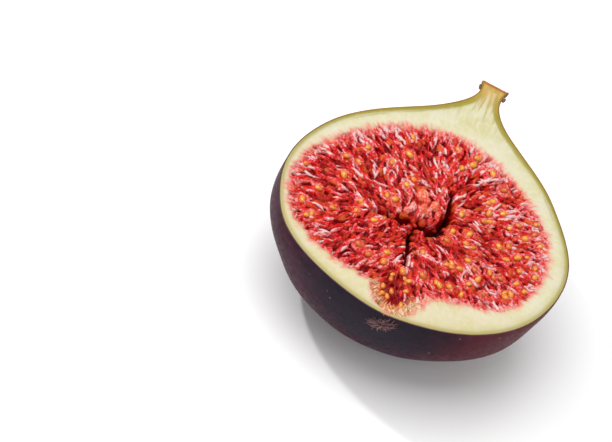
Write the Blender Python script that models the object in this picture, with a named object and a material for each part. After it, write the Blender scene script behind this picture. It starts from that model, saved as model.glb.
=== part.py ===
"""Half of a fresh fig, cut lengthwise from stem to eye and lying on its round back.

The fruit is one grown piece, so it is one solid: skin, flesh and stem together, with the pulp
a little below the flesh and a three-armed fissure in the pulp's middle. Metres, +Z up out of
the cut face, +Y towards the stem, origin at the middle of the flat that the back rests on.
"""

import math

import bmesh
import bpy
from mathutils import Matrix, Vector

# Driving dimensions.
LENGTH = 0.066  # along Y to the cut end of the stem, without the swelling at the eye
MAX_RADIUS = 0.0302  # half the width across the cut face
REST_SAG = 0.0009  # how much of the soft back is pressed flat by its own weight

# The meridian, as Bezier anchors and handle lengths in shares of LENGTH.
WIDEST = Vector((0.383, MAX_RADIUS / LENGTH))
WIDEST_HANDLES = (0.229, 0.198)
EYE_HANDLE = 0.248
SHOULDER = Vector((0.775, 0.193))
SHOULDER_SLOPE = -1.276
SHOULDER_HANDLES = (0.118, 0.077)
STEM_FOOT = Vector((0.935, 0.0412))
STEM_FOOT_SLOPE = -0.314
STEM_HANDLES = (0.062, 0.030)
STEM_TIP = Vector((1.0, 0.0425))  # the dried rim of the cut stem flares a little
STEM_TIP_HANDLE = 0.020

# The fruit isn't quite round: its eye sits to one side on a low swelling, and soft ribs run along it.
LEAN = -0.020 * LENGTH
LEAN_FADE = (0.25, 0.55)  # shares of LENGTH between which the middle line comes straight
STEM_LEAN = 0.00055  # the stem's end leans the other way
STEM_LEAN_RISE = (0.84, 0.97)
RIB_HEIGHT = 0.00034
RIBS_IN_HALF_TURN = 11
RIB_FADE_IN = (0.05, 0.30)  # shares of LENGTH
RIB_FADE_OUT = (0.80, 0.92)
RIB_WANDER = (0.35, 3.0, 0.8)  # radians of drift, waves in a turn, phase
EYE_SWELLING = 0.0006
EYE_SWELLING_RADIUS = 0.0070
EYE_END = 0.3  # the share of LENGTH that the swelling belongs to

# Where the fruit is fuller: a flank, the cheek beside the eye and one shoulder. Each row is how much,
# its middle and width in degrees of turn, and its middle and width in shares of LENGTH.
FULLER = (
    (0.0018, (27.0, 23.0), (0.36, 0.22)),
    (0.0014, (180.0, 20.0), (0.095, 0.105)),
    (0.0012, (0.0, 18.0), (0.735, 0.080)),
    (0.0004, (0.0, 16.0), (0.20, 0.25)),
)
SETTLE_RADIUS = 0.008  # nearer the middle line than this, they fade out

# The pulp: its outline as (across, along) in shares of LENGTH, and how far it lies below the flesh.
PULP_OUTLINE = (
    (0.030, 0.098),
    (0.186, 0.158),
    (0.334, 0.232),
    (0.395, 0.400),
    (0.345, 0.560),
    (0.214, 0.672),
    (0.060, 0.738),
    (-0.100, 0.728),
    (-0.262, 0.632),
    (-0.392, 0.470),
    (-0.434, 0.320),
    (-0.378, 0.178),
    (-0.245, 0.104),
    (-0.090, 0.086),
)
PULP_RECESS = 0.0004

# The fissure: one arm per row, as (heading in degrees from +X, reach, width at its middle).
FISSURE_CENTRE = Vector((0.0008, 0.0258))
FISSURE_ARMS = (
    (195.0, 0.0112, 0.0021),
    (72.0, 0.0096, 0.0030),
    (268.0, 0.0108, 0.0018),
)
FISSURE_DEPTH = 0.0065
ARM_MIDDLE = 0.42  # where an arm's middle lies, and half its length, in shares of its reach
ARM_HALF = 0.58
ARM_SEGMENTS = 20
ARM_RINGS = 12

# Mesh fineness.
POINTS_PER_STRETCH = (18, 18, 8, 4)
SPIN_STEPS = 44
PULP_POINTS_PER_SPAN = 5
SHARP_ANGLE = 40.0

SKIN_COLOUR = (0.030, 0.010, 0.022, 1.0)
SKIN_ROUGHNESS = 0.42


def clear_scene():
    for obj in list(bpy.data.objects):
        bpy.data.objects.remove(obj, do_unlink=True)


def bezier(start, out_handle, in_handle, end, count):
    """count points of a cubic Bezier after its first point."""
    points = []
    for step in range(1, count + 1):
        t = step / count
        s = 1.0 - t
        points.append(
            s**3 * start + 3 * s * s * t * out_handle + 3 * s * t * t * in_handle + t**3 * end
        )
    return points


def meridian():
    """The (along, radius) outline from the eye to the rim of the stem's cut end, in metres."""
    eye = Vector((0.0, 0.0))
    shoulder_way = Vector((1.0, SHOULDER_SLOPE)).normalized()
    foot_way = Vector((1.0, STEM_FOOT_SLOPE)).normalized()
    along = Vector((1.0, 0.0))
    stretches = (
        (eye, eye + Vector((0.0, EYE_HANDLE)), WIDEST - along * WIDEST_HANDLES[0], WIDEST),
        (
            WIDEST,
            WIDEST + along * WIDEST_HANDLES[1],
            SHOULDER - shoulder_way * SHOULDER_HANDLES[0],
            SHOULDER,
        ),
        (
            SHOULDER,
            SHOULDER + shoulder_way * SHOULDER_HANDLES[1],
            STEM_FOOT - foot_way * STEM_HANDLES[0],
            STEM_FOOT,
        ),
        (
            STEM_FOOT,
            STEM_FOOT + foot_way * STEM_HANDLES[1],
            STEM_TIP - along * STEM_TIP_HANDLE,
            STEM_TIP,
        ),
    )
    points = [eye]
    for stretch, count in zip(stretches, POINTS_PER_STRETCH):
        points += bezier(*stretch, count)
    return [point * LENGTH for point in points]


def smooth_step(low, high, value):
    t = min(max((value - low) / (high - low), 0.0), 1.0)
    return t * t * (3.0 - 2.0 * t)


def lean_at(along):
    """How far the fruit's middle line lies to one side, at the eye and the other way at the stem."""
    share = along / LENGTH
    return LEAN * (1.0 - smooth_step(*LEAN_FADE, share)) + STEM_LEAN * smooth_step(*STEM_LEAN_RISE, share)


def bell(middle, width, value):
    return math.exp(-(((value - middle) / width) ** 2))


def growth_at(share, radius, turn):
    """What the ribs and the fuller places add to the radius."""
    rib_fade = smooth_step(*RIB_FADE_IN, share) * (1.0 - smooth_step(*RIB_FADE_OUT, share))
    drift, waves, phase = RIB_WANDER
    wander = drift * math.sin(waves * turn + phase)
    rib = RIB_HEIGHT * rib_fade * math.cos(RIBS_IN_HALF_TURN * turn + wander)
    degrees = math.degrees(turn)
    fuller = sum(
        more * bell(*by_turn, degrees) * bell(*by_share, share) for more, by_turn, by_share in FULLER
    )
    return rib + fuller * min(1.0, radius / SETTLE_RADIUS)


def shaped(point):
    """A point of the plain turned half, with its ribs, fuller places, swelling at the eye and lean."""
    radius = math.hypot(point.x, point.z)
    share = point.y / LENGTH
    swelling = EYE_SWELLING * bell(0.0, EYE_SWELLING_RADIUS, radius) * (share < EYE_END)
    grown = 1.0
    if radius > 1e-9:
        grown += growth_at(share, radius, math.atan2(-point.z, point.x)) / radius
    return Vector((point.x * grown + lean_at(point.y), point.y - swelling, point.z * grown))


def turned_half():
    """The closed half fruit: the meridian spun half a turn about Y, with the cut face filled."""
    bm = bmesh.new()
    outline = [bm.verts.new((radius, along, 0.0)) for along, radius in meridian()]
    outline.append(bm.verts.new((0.0, LENGTH, 0.0)))
    edges = [bm.edges.new(pair) for pair in zip(outline, outline[1:])]
    bmesh.ops.spin(
        bm,
        geom=outline + edges,
        cent=(0.0, 0.0, 0.0),
        axis=(0.0, 1.0, 0.0),
        angle=math.pi,
        steps=SPIN_STEPS,
    )
    bmesh.ops.remove_doubles(bm, verts=bm.verts, dist=1e-6)
    for vert in bm.verts:
        vert.co = shaped(vert.co)
    rim = [edge for edge in bm.edges if edge.is_boundary]
    bmesh.ops.contextual_create(bm, geom=rim)
    bmesh.ops.recalc_face_normals(bm, faces=bm.faces)
    return bm


def press_rest_flat(bm):
    """Cuts the back off level where it is pressed flat, and closes it with one flat face."""
    level = REST_SAG - MAX_RADIUS
    cut = bmesh.ops.bisect_plane(
        bm,
        geom=bm.verts[:] + bm.edges[:] + bm.faces[:],
        plane_co=(0.0, 0.0, level),
        plane_no=(0.0, 0.0, -1.0),
        clear_outer=True,
    )
    loop = [item for item in cut["geom_cut"] if isinstance(item, bmesh.types.BMEdge)]
    made = bmesh.ops.contextual_create(bm, geom=loop)["faces"]
    bmesh.ops.recalc_face_normals(bm, faces=bm.faces)
    corners = [vert.co for vert in made[0].verts]
    return (min(c.y for c in corners) + max(c.y for c in corners)) / 2.0


def object_of(bm, name):
    mesh = bpy.data.meshes.new(name)
    bm.to_mesh(mesh)
    bm.free()
    obj = bpy.data.objects.new(name, mesh)
    bpy.context.scene.collection.objects.link(obj)
    return obj


def helper(obj):
    """A cutter: kept in the file for its Boolean, and neither drawn nor built."""
    obj.hide_render = True
    obj.display_type = "WIRE"
    return obj


def smooth_loop(anchors, per_span):
    """Points of a closed Catmull-Rom curve through the anchors."""
    points = []
    count = len(anchors)
    for i in range(count):
        before, here, after, beyond = (anchors[(i + k) % count] for k in (-1, 0, 1, 2))
        for step in range(per_span):
            t = step / per_span
            points.append(
                0.5
                * (
                    2.0 * here
                    + (after - before) * t
                    + (2.0 * before - 5.0 * here + 4.0 * after - beyond) * t * t
                    + (3.0 * here - before - 3.0 * after + beyond) * t**3
                )
            )
    return points


def pulp_cutter():
    """A thin plate of the pulp's outline, standing from the recess up through the cut face."""
    anchors = [Vector(point) * LENGTH for point in PULP_OUTLINE]
    bm = bmesh.new()
    ring = [
        bm.verts.new((point.x, point.y, -PULP_RECESS))
        for point in smooth_loop(anchors, PULP_POINTS_PER_SPAN)
    ]
    face = bm.faces.new(ring)
    raised = bmesh.ops.extrude_face_region(bm, geom=[face])["geom"]
    tops = [item for item in raised if isinstance(item, bmesh.types.BMVert)]
    bmesh.ops.translate(bm, verts=tops, vec=(0.0, 0.0, 4.0 * PULP_RECESS))
    bmesh.ops.recalc_face_normals(bm, faces=bm.faces)
    return helper(object_of(bm, "pulp_cutter"))


def fissure_cutter(index, heading, reach, width):
    """One arm of the fissure: a flattened ellipsoid from the fissure's middle outwards."""
    way = Vector((math.cos(math.radians(heading)), math.sin(math.radians(heading))))
    middle = FISSURE_CENTRE + way * reach * ARM_MIDDLE
    placed = (
        Matrix.Translation((middle.x, middle.y, 0.0))
        @ Matrix.Rotation(math.radians(heading), 4, "Z")
        @ Matrix.Diagonal((reach * ARM_HALF, width / 2.0, FISSURE_DEPTH, 1.0))
    )
    bm = bmesh.new()
    bmesh.ops.create_uvsphere(
        bm, u_segments=ARM_SEGMENTS, v_segments=ARM_RINGS, radius=1.0, matrix=placed
    )
    return helper(object_of(bm, f"fissure_cutter_{index}"))


def cut_with(obj, cutter):
    cut = obj.modifiers.new(cutter.name, "BOOLEAN")
    cut.operation = "DIFFERENCE"
    cut.object = cutter
    cut.solver = "EXACT"


def skin_material():
    material = bpy.data.materials.new("fig_skin")
    material.use_nodes = True
    shader = material.node_tree.nodes["Principled BSDF"]
    shader.inputs["Base Color"].default_value = SKIN_COLOUR
    shader.inputs["Roughness"].default_value = SKIN_ROUGHNESS
    shader.inputs["Metallic"].default_value = 0.0
    return material


def main():
    clear_scene()
    bm = turned_half()
    rest_along = press_rest_flat(bm)
    fig = object_of(bm, "fig_half")
    fig.data.materials.append(skin_material())
    fig.data.shade_smooth()
    fig.data.set_sharp_from_angle(angle=math.radians(SHARP_ANGLE))
    place = Vector((-lean_at(rest_along), -rest_along, MAX_RADIUS - REST_SAG))
    cutters = [pulp_cutter()]
    for index, arm in enumerate(FISSURE_ARMS):
        cutters.append(fissure_cutter(index, *arm))
    for cutter in cutters:
        cutter.location = place
        cut_with(fig, cutter)
    fig.location = place


main()
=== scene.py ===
"""Half of a fresh fig, cut lengthwise and lying on its round back: skin, flesh, wet pulp and seeds.

The body is one closed skin-and-flesh surface. In its cut face lie the parts that a cut lays bare: a
wet sheet of drops and petals, which are the little flowers inside the fruit, their seeds, and the
bracts that close the eye. Outside are the scales round the eye and the dry chips at the stem's end.
Everything is worked out in the fruit's own plan, in metres: x across, y from the eye to the stem and
z up out of the cut plane. PLACE moves that plan to where the frame has the fruit.
"""

import math
from functools import lru_cache, partial

import bmesh
import bpy
import numpy as np
from mathutils import Matrix, Vector


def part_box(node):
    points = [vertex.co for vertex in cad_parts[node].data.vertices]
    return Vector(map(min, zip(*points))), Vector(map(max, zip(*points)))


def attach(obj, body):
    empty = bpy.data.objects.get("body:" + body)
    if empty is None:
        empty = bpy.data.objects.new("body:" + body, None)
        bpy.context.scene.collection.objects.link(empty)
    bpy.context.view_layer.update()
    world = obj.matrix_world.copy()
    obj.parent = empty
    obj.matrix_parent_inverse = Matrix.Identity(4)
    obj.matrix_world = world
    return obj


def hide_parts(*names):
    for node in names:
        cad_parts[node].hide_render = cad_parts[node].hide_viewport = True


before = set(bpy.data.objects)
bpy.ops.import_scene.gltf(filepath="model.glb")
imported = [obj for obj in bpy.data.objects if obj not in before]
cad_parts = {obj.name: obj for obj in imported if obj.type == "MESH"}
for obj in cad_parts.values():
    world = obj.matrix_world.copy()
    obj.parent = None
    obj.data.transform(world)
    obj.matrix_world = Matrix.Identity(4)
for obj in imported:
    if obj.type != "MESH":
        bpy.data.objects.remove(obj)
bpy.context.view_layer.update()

bl_info = {
    "name": "Fresh fig half",
    "version": (1, 0, 0),
    "blender": (4, 5, 0),
    "location": "View3D > Sidebar > Fig",
    "description": "Builds the skin, flesh, pulp and seeds of half a fresh fig",
    "category": "Add Mesh",
}

MM = 0.001
BODY = "root"
NODE = "fig_half"
LOW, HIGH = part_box(NODE)

# The fruit's measures, the same as the frame's. The meridian is in shares of LENGTH.
LENGTH = 66.0 * MM
MAX_RADIUS = 30.2 * MM
WIDEST = (0.383, MAX_RADIUS / LENGTH)
SHOULDER = (0.775, 0.193)
SHOULDER_SLOPE = -1.276
STEM_FOOT = (0.935, 0.0412)
STEM_FOOT_SLOPE = -0.314
STEM_TIP = (1.0, 0.0425)
LEAN = -0.020 * LENGTH
STEM_LEAN = 0.55 * MM
RIB_HEIGHT = 0.34 * MM
RIBS_IN_HALF_TURN = 11
EYE_SWELLING = 0.6 * MM
EYE_SWELLING_RADIUS = 7.0 * MM
# Where the fruit is fuller: a flank, the cheek beside the eye and one shoulder. Each row is how much in
# mm, its middle and width in degrees of turn, and its middle and width in shares of LENGTH.
FULLER = (
    (1.8, (27.0, 23.0), (0.36, 0.22)),
    (1.4, (180.0, 20.0), (0.095, 0.105)),
    (1.2, (0.0, 18.0), (0.735, 0.080)),
    (0.4, (0.0, 16.0), (0.20, 0.25)),
)
SETTLE_RADIUS = 8.0 * MM
REST_DEPTH = HIGH.z - LOW.z  # from the cut plane down to the flat that the back rests on

# The pulp's outline as (across, along) in shares of LENGTH.
PULP_OUTLINE = (
    (0.030, 0.098), (0.186, 0.158), (0.334, 0.232), (0.395, 0.400), (0.345, 0.560),
    (0.214, 0.672), (0.060, 0.738), (-0.100, 0.728), (-0.262, 0.632), (-0.392, 0.470),
    (-0.434, 0.320), (-0.378, 0.178), (-0.245, 0.104), (-0.090, 0.086),
)  # fmt: skip

# The fissure's three arms, from the middle outwards: points as (across, along) in shares of LENGTH,
# half width and depth in mm. Each arm narrows to a third at its end.
FISSURE_ARMS = (
    (((0.000, 0.372), (-0.045, 0.368), (-0.105, 0.346), (-0.160, 0.330)), 1.00, 4.4),
    (((0.018, 0.362), (0.044, 0.388), (0.052, 0.440), (0.044, 0.500), (0.034, 0.535)), 0.85, 6.4),
    (((-0.018, 0.362), (-0.025, 0.330), (-0.018, 0.270), (-0.003, 0.205)), 0.74, 5.0),
)
# The arms meet in a shallow bowl: its middle and half axes in shares of LENGTH, and its depth.
BOWL = (-0.010, 0.392)
BOWL_SIZE = (0.066, 0.036)
BOWL_DEPTH = 1.7 * MM
# Large flower ends that crowd over the bowl and merge with the pulp: (across, along) in shares of
# LENGTH, length and width in mm, height above the cut plane in mm, tone and warmth. The first is the
# low mound under them all and the second the big round one.
CROWD = (
    (-0.035, 0.434, 7.0, 6.4, -0.20, 0.20, 0.07), (-0.047, 0.478, 3.1, 2.8, 0.50, 0.58, 0.36),
    (0.002, 0.462, 2.5, 2.1, 0.48, 0.56, 0.37), (-0.027, 0.432, 2.5, 2.0, 0.44, 0.62, 0.35),
    (-0.058, 0.424, 2.5, 1.8, 0.40, 0.76, 0.20), (-0.092, 0.388, 2.6, 1.6, 0.30, 0.70, 0.12),
    (-0.070, 0.402, 2.5, 1.6, 0.30, 0.64, 0.16), (-0.008, 0.436, 2.3, 1.5, 0.36, 0.66, 0.22),
    (0.021, 0.438, 2.1, 1.4, 0.30, 0.55, 0.16), (-0.026, 0.462, 2.3, 1.5, 0.34, 0.46, 0.18),
    (-0.080, 0.452, 2.7, 1.5, 0.30, 0.55, 0.10), (-0.042, 0.388, 2.5, 2.2, 0.10, 0.12, 0.05),
    (0.008, 0.412, 2.2, 1.6, 0.20, 0.42, 0.07), (0.028, 0.420, 1.9, 1.3, 0.10, 0.40, 0.06),
    (-0.080, 0.312, 2.0, 1.6, 0.25, 0.20, 0.07), (-0.128, 0.384, 2.6, 1.3, 0.20, 0.46, 0.12),
)  # fmt: skip
CROWD_SPOTS = np.array(CROWD)[:, :2] * LENGTH

# The eye's funnel, a broad U in the cut face full of bracts: its middle and ends in shares of LENGTH,
# its half width in mm where it meets the pulp, and the middle and half axes of its seedy core.
FUNNEL_MIDDLE = 0.011
FUNNEL_ENDS = (0.008, 0.150)
FUNNEL_HALF_WIDTH = 6.7
CORE = (0.004, 0.100)
CORE_SIZE = (0.052, 0.066)


def linear(code):
    """sRGB hex to linear RGBA: c / 12.92 up to 0.04045, and ((c + 0.055) / 1.055) to the 2.4 above."""
    shares = [int(code[i : i + 2], 16) / 255.0 for i in (1, 3, 5)]
    return tuple(c / 12.92 if c <= 0.04045 else ((c + 0.055) / 1.055) ** 2.4 for c in shares) + (1.0,)


def smooth_step(low, high, value):
    """0 below low, 1 above high, and 3t squared - 2t cubed in between."""
    t = np.clip((np.asarray(value, float) - low) / (high - low), 0.0, 1.0)
    return t * t * (3.0 - 2.0 * t)


def unit(vectors):
    return vectors / np.maximum(np.linalg.norm(vectors, axis=-1, keepdims=True), 1e-12)


def waves(points, size, seed, count=20):
    """Soft noise between -1 and 1: the hyperbolic tangent of a sum of cosines with random headings and
    phases, whose wavelengths are 0.7 to 1.6 times size, divided by the root of their count."""
    rng = np.random.default_rng(seed)
    ways = unit(rng.normal(size=(count, points.shape[-1])))
    lengths = size * rng.uniform(0.7, 1.6, count)
    phases = rng.uniform(0.0, 2.0 * math.pi, count)
    angles = points @ (ways * (2.0 * math.pi / lengths)[:, None]).T + phases
    return np.tanh(np.cos(angles).sum(-1) / math.sqrt(count))


def bezier(start, out_handle, in_handle, end, count):
    """count points of a cubic Bezier after its first point, as an array."""
    t = (np.arange(1, count + 1) / count)[:, None]
    start, out_handle, in_handle, end = (np.array(p, float) for p in (start, out_handle, in_handle, end))
    s = 1.0 - t
    return s**3 * start + 3 * s * s * t * out_handle + 3 * s * t * t * in_handle + t**3 * end


def meridian(counts):
    """(along, radius) of the outline in metres, from the eye to the stem's end: four Beziers in a row."""
    shoulder_way = unit(np.array((1.0, SHOULDER_SLOPE)))
    foot_way = unit(np.array((1.0, STEM_FOOT_SLOPE)))
    widest, shoulder, foot, tip = (np.array(p) for p in (WIDEST, SHOULDER, STEM_FOOT, STEM_TIP))
    along = np.array((1.0, 0.0))
    points = np.vstack(
        (
            np.zeros((1, 2)),
            bezier((0, 0), (0, 0.248), widest - 0.229 * along, widest, counts[0]),
            bezier(widest, widest + 0.198 * along, shoulder - 0.118 * shoulder_way, shoulder, counts[1]),
            bezier(shoulder, shoulder + 0.077 * shoulder_way, foot - 0.062 * foot_way, foot, counts[2]),
            bezier(foot, foot + 0.030 * foot_way, tip - 0.020 * along, tip, counts[3]),
        )
    )
    return points[:, 0] * LENGTH, points[:, 1] * LENGTH


def lean_at(along):
    """How far the middle line lies to one side: LEAN at the eye, none from 0.55 of the length on, and
    STEM_LEAN at the stem's end."""
    share = np.asarray(along, float) / LENGTH
    return LEAN * (1.0 - smooth_step(0.25, 0.55, share)) + STEM_LEAN * smooth_step(0.84, 0.97, share)


def swelling_at(radius, along):
    """The low swelling at the eye: a Gaussian of the radius, gone a fifth of the way along."""
    fade = 1.0 - smooth_step(0.02 * LENGTH, 0.2 * LENGTH, along)
    return EYE_SWELLING * np.exp(-((radius / EYE_SWELLING_RADIUS) ** 2)) * fade


def bell(middle, width, value):
    return np.exp(-(((value - middle) / width) ** 2))


def grown_radius(along, radius, turn):
    """The radius with the soft ribs, RIB_HEIGHT times a cosine of the turn, the fuller places, a bell
    by turn times a bell along, and finer pleats on the neck, where the skin has dried and drawn in."""
    share = along / LENGTH
    rib_fade = smooth_step(0.05, 0.30, share) * (1.0 - smooth_step(0.80, 0.92, share))
    wander = 0.35 * np.sin(3.0 * turn + 0.8)
    ribs = RIB_HEIGHT * rib_fade * np.cos(RIBS_IN_HALF_TURN * turn + wander)
    pleat_fade = smooth_step(0.66, 0.86, share)
    pleats = 0.10 * MM * pleat_fade * np.cos(17.0 * turn + 2.0 * np.sin(5.0 * share * math.pi) + 1.0)
    degrees = np.degrees(turn)
    fuller = sum(
        more * MM * bell(*by_turn, degrees) * bell(*by_share, share) for more, by_turn, by_share in FULLER
    )
    fuller = fuller * np.minimum(1.0, radius / SETTLE_RADIUS)
    return np.maximum(radius + fuller + (ribs + pleats) * (radius > 1e-9), 0.0)


def skin_points(along, radius, turn):
    """The skin at (along, radius) and turn: round the leaning middle line, swollen at the eye, and
    pressed level underneath by a smooth minimum of its depth and REST_DEPTH."""
    grown = grown_radius(along, radius, turn)
    x = grown * np.cos(turn) + lean_at(along)
    y = along - swelling_at(radius, along)
    depth = grown * np.sin(turn)
    blend = 0.4 * MM
    near = np.maximum(blend - np.abs(depth - REST_DEPTH), 0.0) / blend
    depth = np.minimum(depth, REST_DEPTH) - near * near * blend / 4.0
    return np.stack((x, y + 0.0 * x, -depth), axis=-1)


MERIDIAN_COUNTS = (78, 88, 30, 12)
ALONG, RADIUS = meridian(MERIDIAN_COUNTS)
EYE_Y = HIGH.y - LENGTH
PLACE = np.array((-float(lean_at(-EYE_Y)), EYE_Y, HIGH.z))


def edge_points(side):
    """The cut edge on one side, 1 for right and -1 for left, from the eye to the stem, as (x, y)."""
    turn = 0.0 if side > 0 else math.pi
    return skin_points(ALONG, RADIUS, turn * np.ones_like(ALONG))[:, :2]


CUT_EDGE = np.vstack((edge_points(1), edge_points(-1)[::-1]))


def smooth_loop(anchors, per_span):
    """A closed Catmull-Rom curve through the anchors, per_span points to each span."""
    here = np.array(anchors, float)
    before, after, beyond = (np.roll(here, k, axis=0) for k in (1, -1, -2))
    t = (np.arange(per_span) / per_span)[None, :, None]
    a, b, c, d = (p[:, None] for p in (before, here, after, beyond))
    points = 0.5 * (
        2 * b + (c - a) * t + (2 * a - 5 * b + 4 * c - d) * t * t + (3 * b - a - 3 * c + d) * t**3
    )
    return points.reshape(-1, 2)


PULP_LOOP = smooth_loop(PULP_OUTLINE, 10) * LENGTH


def way_to(points, path):
    """(distance, nearest point) from each point to a path of straight pieces, in the plane."""
    start, step = path[:-1], np.diff(path, axis=0)
    size = np.maximum((step * step).sum(-1), 1e-18)
    distances, nearest = [], []
    for some in np.array_split(points, max(1, len(points) // 4000)):
        t = np.clip(((some[:, None] - start) * step).sum(-1) / size, 0.0, 1.0)
        feet = start + t[..., None] * step
        gaps = np.linalg.norm(some[:, None] - feet, axis=-1)
        best = gaps.argmin(axis=1)
        rows = np.arange(len(some))
        distances.append(gaps[rows, best])
        nearest.append(feet[rows, best])
    return np.concatenate(distances), np.vstack(nearest)


def inside(points, loop):
    """Whether each point is inside a closed loop: a ray to the right crosses it an odd number of
    times."""
    x, y = points[:, :1], points[:, 1:2]
    (x0, y0), (x1, y1) = loop.T, np.roll(loop, -1, axis=0).T
    crosses = (y0 > y) != (y1 > y)
    reach = x0 + (y - y0) * (x1 - x0) / np.where(np.abs(y1 - y0) < 1e-12, 1e-12, y1 - y0)
    return (crosses & (x < reach)).sum(axis=1) % 2 == 1


def funnel_depth(plan):
    """How far inside the eye's funnel each point lies: its half width at a share t of the way in is
    FUNNEL_HALF_WIDTH times t to the 0.32."""
    share = plan[:, 1] / LENGTH
    low, high = FUNNEL_ENDS
    half = FUNNEL_HALF_WIDTH * MM * np.clip((share - low) / (high - low), 0.0, 1.0) ** 0.32
    depth = half - np.abs(plan[:, 0] - FUNNEL_MIDDLE * LENGTH)
    return np.minimum(depth, np.minimum(share - low, high - share) * LENGTH)


def core_share(plan, low, high):
    """1 in the middle of the funnel's seedy core, and 0 at high times its half axes and beyond."""
    return 1.0 - smooth_step(low, high, np.linalg.norm((plan / LENGTH - CORE) / CORE_SIZE, axis=1))


def bract_share(plan):
    """How much bracts, not pulp, fill a place: 1 in the funnel, and 0 in its seedy core and beyond."""
    core = core_share(plan, 0.75, 1.25)
    share = plan[:, 1] / LENGTH
    side = smooth_step(0.0, 1.5 * MM, funnel_depth(plan) + 1.0 * MM)
    return (1.0 - smooth_step(0.070, 0.122, share)) * side * (1.0 - core)


def pulp_depth(plan):
    """How far inside the pulp each point lies, negative outside: the signed distance to PULP_LOOP with
    a ragged edge of soft noise, joined by the eye's funnel."""
    distance, _ = way_to(plan, np.vstack((PULP_LOOP, PULP_LOOP[:1])))
    signed = np.where(inside(plan, PULP_LOOP), distance, -distance)
    signed = np.maximum(signed, funnel_depth(plan))
    return signed + 0.30 * MM * waves(plan, 3.5 * MM, 11) + 0.12 * MM * waves(plan, 1.2 * MM, 12)


def fissure_cut(plan, narrowed=0.0):
    """(depth of the fissure, nearness to it): each arm is depth / (1 + q to the 4), where q is the
    distance to the arm, plus what narrows it, over its half width, and the bowl where they meet is the
    same of an ellipse. Nearness is 1 on an arm and 0 from about 3 mm off."""
    depth, near = np.zeros(len(plan)), np.zeros(len(plan))
    for points, half, deep in FISSURE_ARMS:
        path = np.array(points) * LENGTH
        distance, feet = way_to(plan, path)
        distance = distance + 0.15 * MM * waves(plan, 1.6 * MM, 21)
        near = np.maximum(near, 1.0 - smooth_step(half * MM, 3.0 * MM + half * MM, distance))
        outwards = np.linalg.norm(feet - path[0], axis=1) / np.linalg.norm(path[-1] - path[0])
        width = half * MM * (1.0 - 0.66 * smooth_step(0.1, 1.0, outwards))
        distance = distance + narrowed * smooth_step(0.0, 1.0 * MM, distance)
        arm = deep * MM * (1.0 - 0.4 * outwards) / (1.0 + (np.abs(distance) / width) ** 4)
        depth = np.maximum(depth, arm)
    offset = np.linalg.norm((plan / LENGTH - BOWL) / BOWL_SIZE, axis=1)
    return np.maximum(depth, BOWL_DEPTH / (1.0 + offset**4)), near


BASIN = 1.9 * MM  # how far the body lies below the cut plane under the pulp
CEILING = 0.45 * MM
FLESH_SWELL = 0.10 * MM


def flesh_height(plan):
    """(height, distance to the skin) of the cut flesh: it swells a little above the cut plane behind
    its edge, FLESH_SWELL (1 - e to the -distance / 0.35 mm), with soft noise."""
    rim, _ = way_to(plan, CUT_EDGE[::3])
    flesh = FLESH_SWELL * (1.0 - np.exp(-rim / (0.35 * MM))) + 0.03 * MM * waves(plan, 4.0 * MM, 31)
    return flesh * smooth_step(0.0, 0.2 * MM, rim), rim


def cut_height(plan):
    """(height, distance to the skin, depth inside the pulp) of the body's cut face: flesh, falling to
    a basin under the pulp, which is split like the pulp above it."""
    flesh, rim = flesh_height(plan)
    pulp = pulp_depth(plan)
    split, _ = fissure_cut(plan)
    inward = smooth_step(-0.25 * MM, 0.9 * MM, pulp)
    return flesh * (1.0 - inward) - (BASIN + split) * inward, rim, pulp


def grid_faces(rows, columns, offset=0, flip=False):
    """Quads of a grid of points numbered row by row."""
    i, j = np.meshgrid(np.arange(rows - 1), np.arange(columns - 1), indexing="ij")
    a = (i * columns + j).ravel() + offset
    quads = np.stack((a, a + 1, a + columns + 1, a + columns), axis=-1)
    return quads[:, ::-1] if flip else quads


def make_piece(name, points, faces, materials, values=None):
    """A mesh object in the frame's place from plan points and faces, with its values as attributes."""
    mesh = bpy.data.meshes.new(name)
    mesh.from_pydata((points + PLACE).tolist(), [], [f for group in faces for f in group.tolist()])
    for key, value in (values or {}).items():
        kind = "FLOAT_VECTOR" if value.ndim == 2 else "FLOAT"
        layer = mesh.attributes.new(key, kind, "POINT")
        layer.data.foreach_set("vector" if value.ndim == 2 else "value", value.astype(np.float32).ravel())
    for material in materials:
        mesh.materials.append(material)
    piece = bpy.data.objects.new(name, mesh)
    bpy.context.scene.collection.objects.link(piece)
    mesh.shade_smooth()
    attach(piece, BODY)
    return piece


# For each kind of node: its type, the sockets that values go to in turn, its output and its settings.
NODES = {
    "place": ("TexCoord", (), "Object", {}),
    "number": ("Attribute", (), "Fac", {}),
    "vector": ("Attribute", (), "Vector", {}),
    "stretch": ("Mapping", ("Vector", "Scale"), 0, {}),
    "across": ("SeparateXYZ", (0,), 0, {}),
    "noise": ("TexNoise", ("Vector", "Scale", "Detail", "Roughness"), 0, {}),
    "cells": ("TexVoronoi", ("Vector", "Scale"), 0, {}),
    "ease": ("MapRange", range(5), 0, {"interpolation_type": "SMOOTHSTEP"}),
    "blend": ("Mix", (0, 2, 3), 0, {}),
    "colour": ("Mix", (0, 6, 7), 2, {"data_type": "RGBA"}),
    "ramp": ("ValToRGB", (0,), 0, {}),
    "times": ("Math", (0, 1), 0, {"operation": "MULTIPLY"}),
    "plus": ("Math", (0, 1), 0, {"operation": "ADD"}),
    "minus": ("Math", (0, 1), 0, {"operation": "SUBTRACT"}),
    "times_plus": ("Math", (0, 1, 2), 0, {"operation": "MULTIPLY_ADD"}),
    "unsigned": ("Math", (0,), 0, {"operation": "ABSOLUTE"}),
    "bump": ("Bump", ("Height", "Strength", "Distance"), 0, {}),
}


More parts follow.
